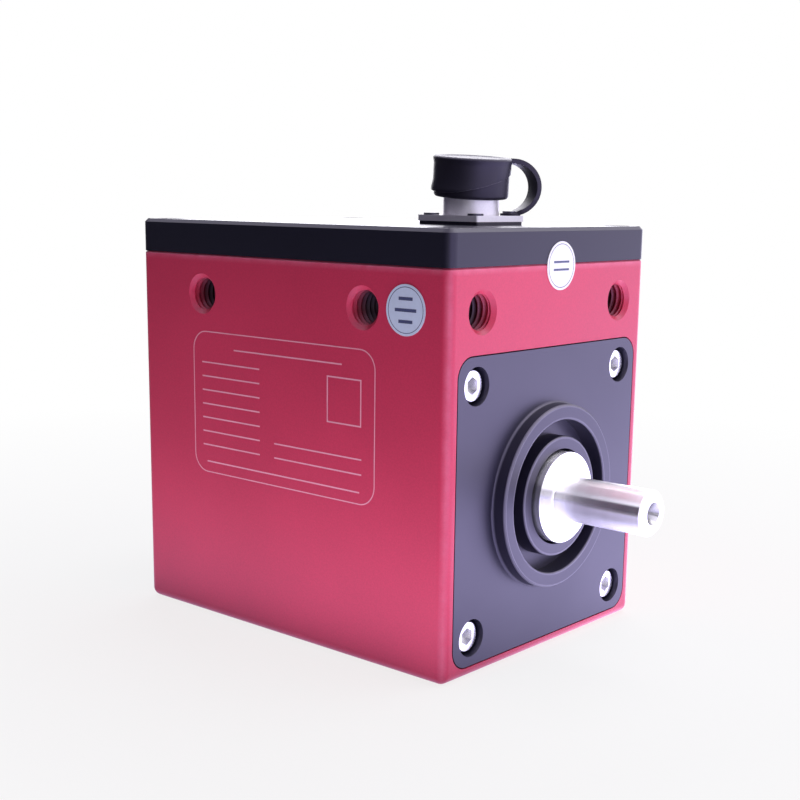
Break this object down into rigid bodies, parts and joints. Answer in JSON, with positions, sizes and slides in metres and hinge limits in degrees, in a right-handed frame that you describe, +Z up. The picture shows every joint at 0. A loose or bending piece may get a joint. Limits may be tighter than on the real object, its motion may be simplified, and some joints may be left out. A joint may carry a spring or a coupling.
{
  "type": "rotary torque sensor",
  "caption": "Square red-anodised rotary torque sensor with a through shaft in ball bearings, tapped mounting holes and a capped round connector on its lid.",
  "frame": {"origin": "middle of the base face, under the middle of the shaft", "axes": "+X along the shaft, towards the connector end; +Z up, towards the lid; +Y across"},
  "size_m": [0.1352, 0.0654, 0.0987],
  "materials": {
    "red_anodised": "satin anodised",
    "black_anodised": "satin anodised",
    "black_steel": "blackened",
    "bright_steel": "polished",
    "bearing_steel": "ground",
    "nickel": "nickel plated",
    "ferrite": "sintered",
    "copper": "enamelled wire",
    "circuit_board": "solder mask",
    "black_plastic": "moulded",
    "black_rubber": "moulded",
    "gauge_film": "film",
    "hub_aluminium": "turned"
  },
  "bodies": {
    "sensor_body": {"housing": "red_anodised", "lid": "black_anodised", "lid_screws": "black_steel", "front_end_plate": "black_anodised", "rear_end_plate": "black_anodised", "front_plate_screws": "bright_steel", "rear_plate_screws": "bright_steel", "front_bearing_outer_ring": "bearing_steel", "rear_bearing_outer_ring": "bearing_steel", "preload_washer": "bright_steel", "power_stator_core": "ferrite", "power_stator_coil": "copper", "signal_stator_core": "ferrite", "signal_stator_coil": "copper", "speed_pickup": "black_plastic", "pickup_screws": "bright_steel", "signal_board": "circuit_board", "board_standoffs": "nickel", "board_screws": "bright_steel", "board_chips": "black_plastic", "board_header": "black_plastic", "connector_leads": "copper", "connector_shell": "nickel", "connector_insert": "black_plastic", "connector_pins": "nickel", "connector_gasket": "black_rubber", "connector_screws": "black_steel", "cap_strap": "black_rubber"},
    "shaft": {"torsion_shaft": "bright_steel", "front_bearing_inner_ring": "bearing_steel", "rear_bearing_inner_ring": "bearing_steel", "strain_gauges": "gauge_film", "rotor_board": "circuit_board", "power_rotor_core": "ferrite", "power_rotor_coil": "copper", "signal_rotor_core": "ferrite", "signal_rotor_coil": "copper", "disc_hub": "hub_aluminium", "speed_disc": "bright_steel", "disc_screws": "bright_steel"},
    "front_balls": {"front_bearing_balls": "bearing_steel", "front_bearing_cage": "bearing_steel"},
    "rear_balls": {"rear_bearing_balls": "bearing_steel", "rear_bearing_cage": "bearing_steel"},
    "cap": {"dust_cap": "black_rubber"}
  },
  "joints": [
    {"name": "shaft_spin", "type": "hinge", "parent": "sensor_body", "child": "shaft", "pos_m": [0, 0, 0.0321], "axis": [1, 0, 0], "continuous": true},
    {"name": "front_cage_spin", "type": "hinge", "parent": "sensor_body", "child": "front_balls", "pos_m": [0.035, 0, 0.0321], "axis": [1, 0, 0], "continuous": true},
    {"name": "rear_cage_spin", "type": "hinge", "parent": "sensor_body", "child": "rear_balls", "pos_m": [-0.035, 0, 0.0321], "axis": [1, 0, 0], "continuous": true},
    {"name": "cap_pull", "type": "slide", "parent": "sensor_body", "child": "cap", "axis": [0, 0, 1], "range_m": [0, 0.01], "deforming": ["cap_strap"]}
  ],
  "couplings": [
    {"joint": "front_cage_spin", "follows": "shaft_spin", "ratio": 0.43292},
    {"joint": "rear_cage_spin", "follows": "shaft_spin", "ratio": 0.43292}
  ]
}
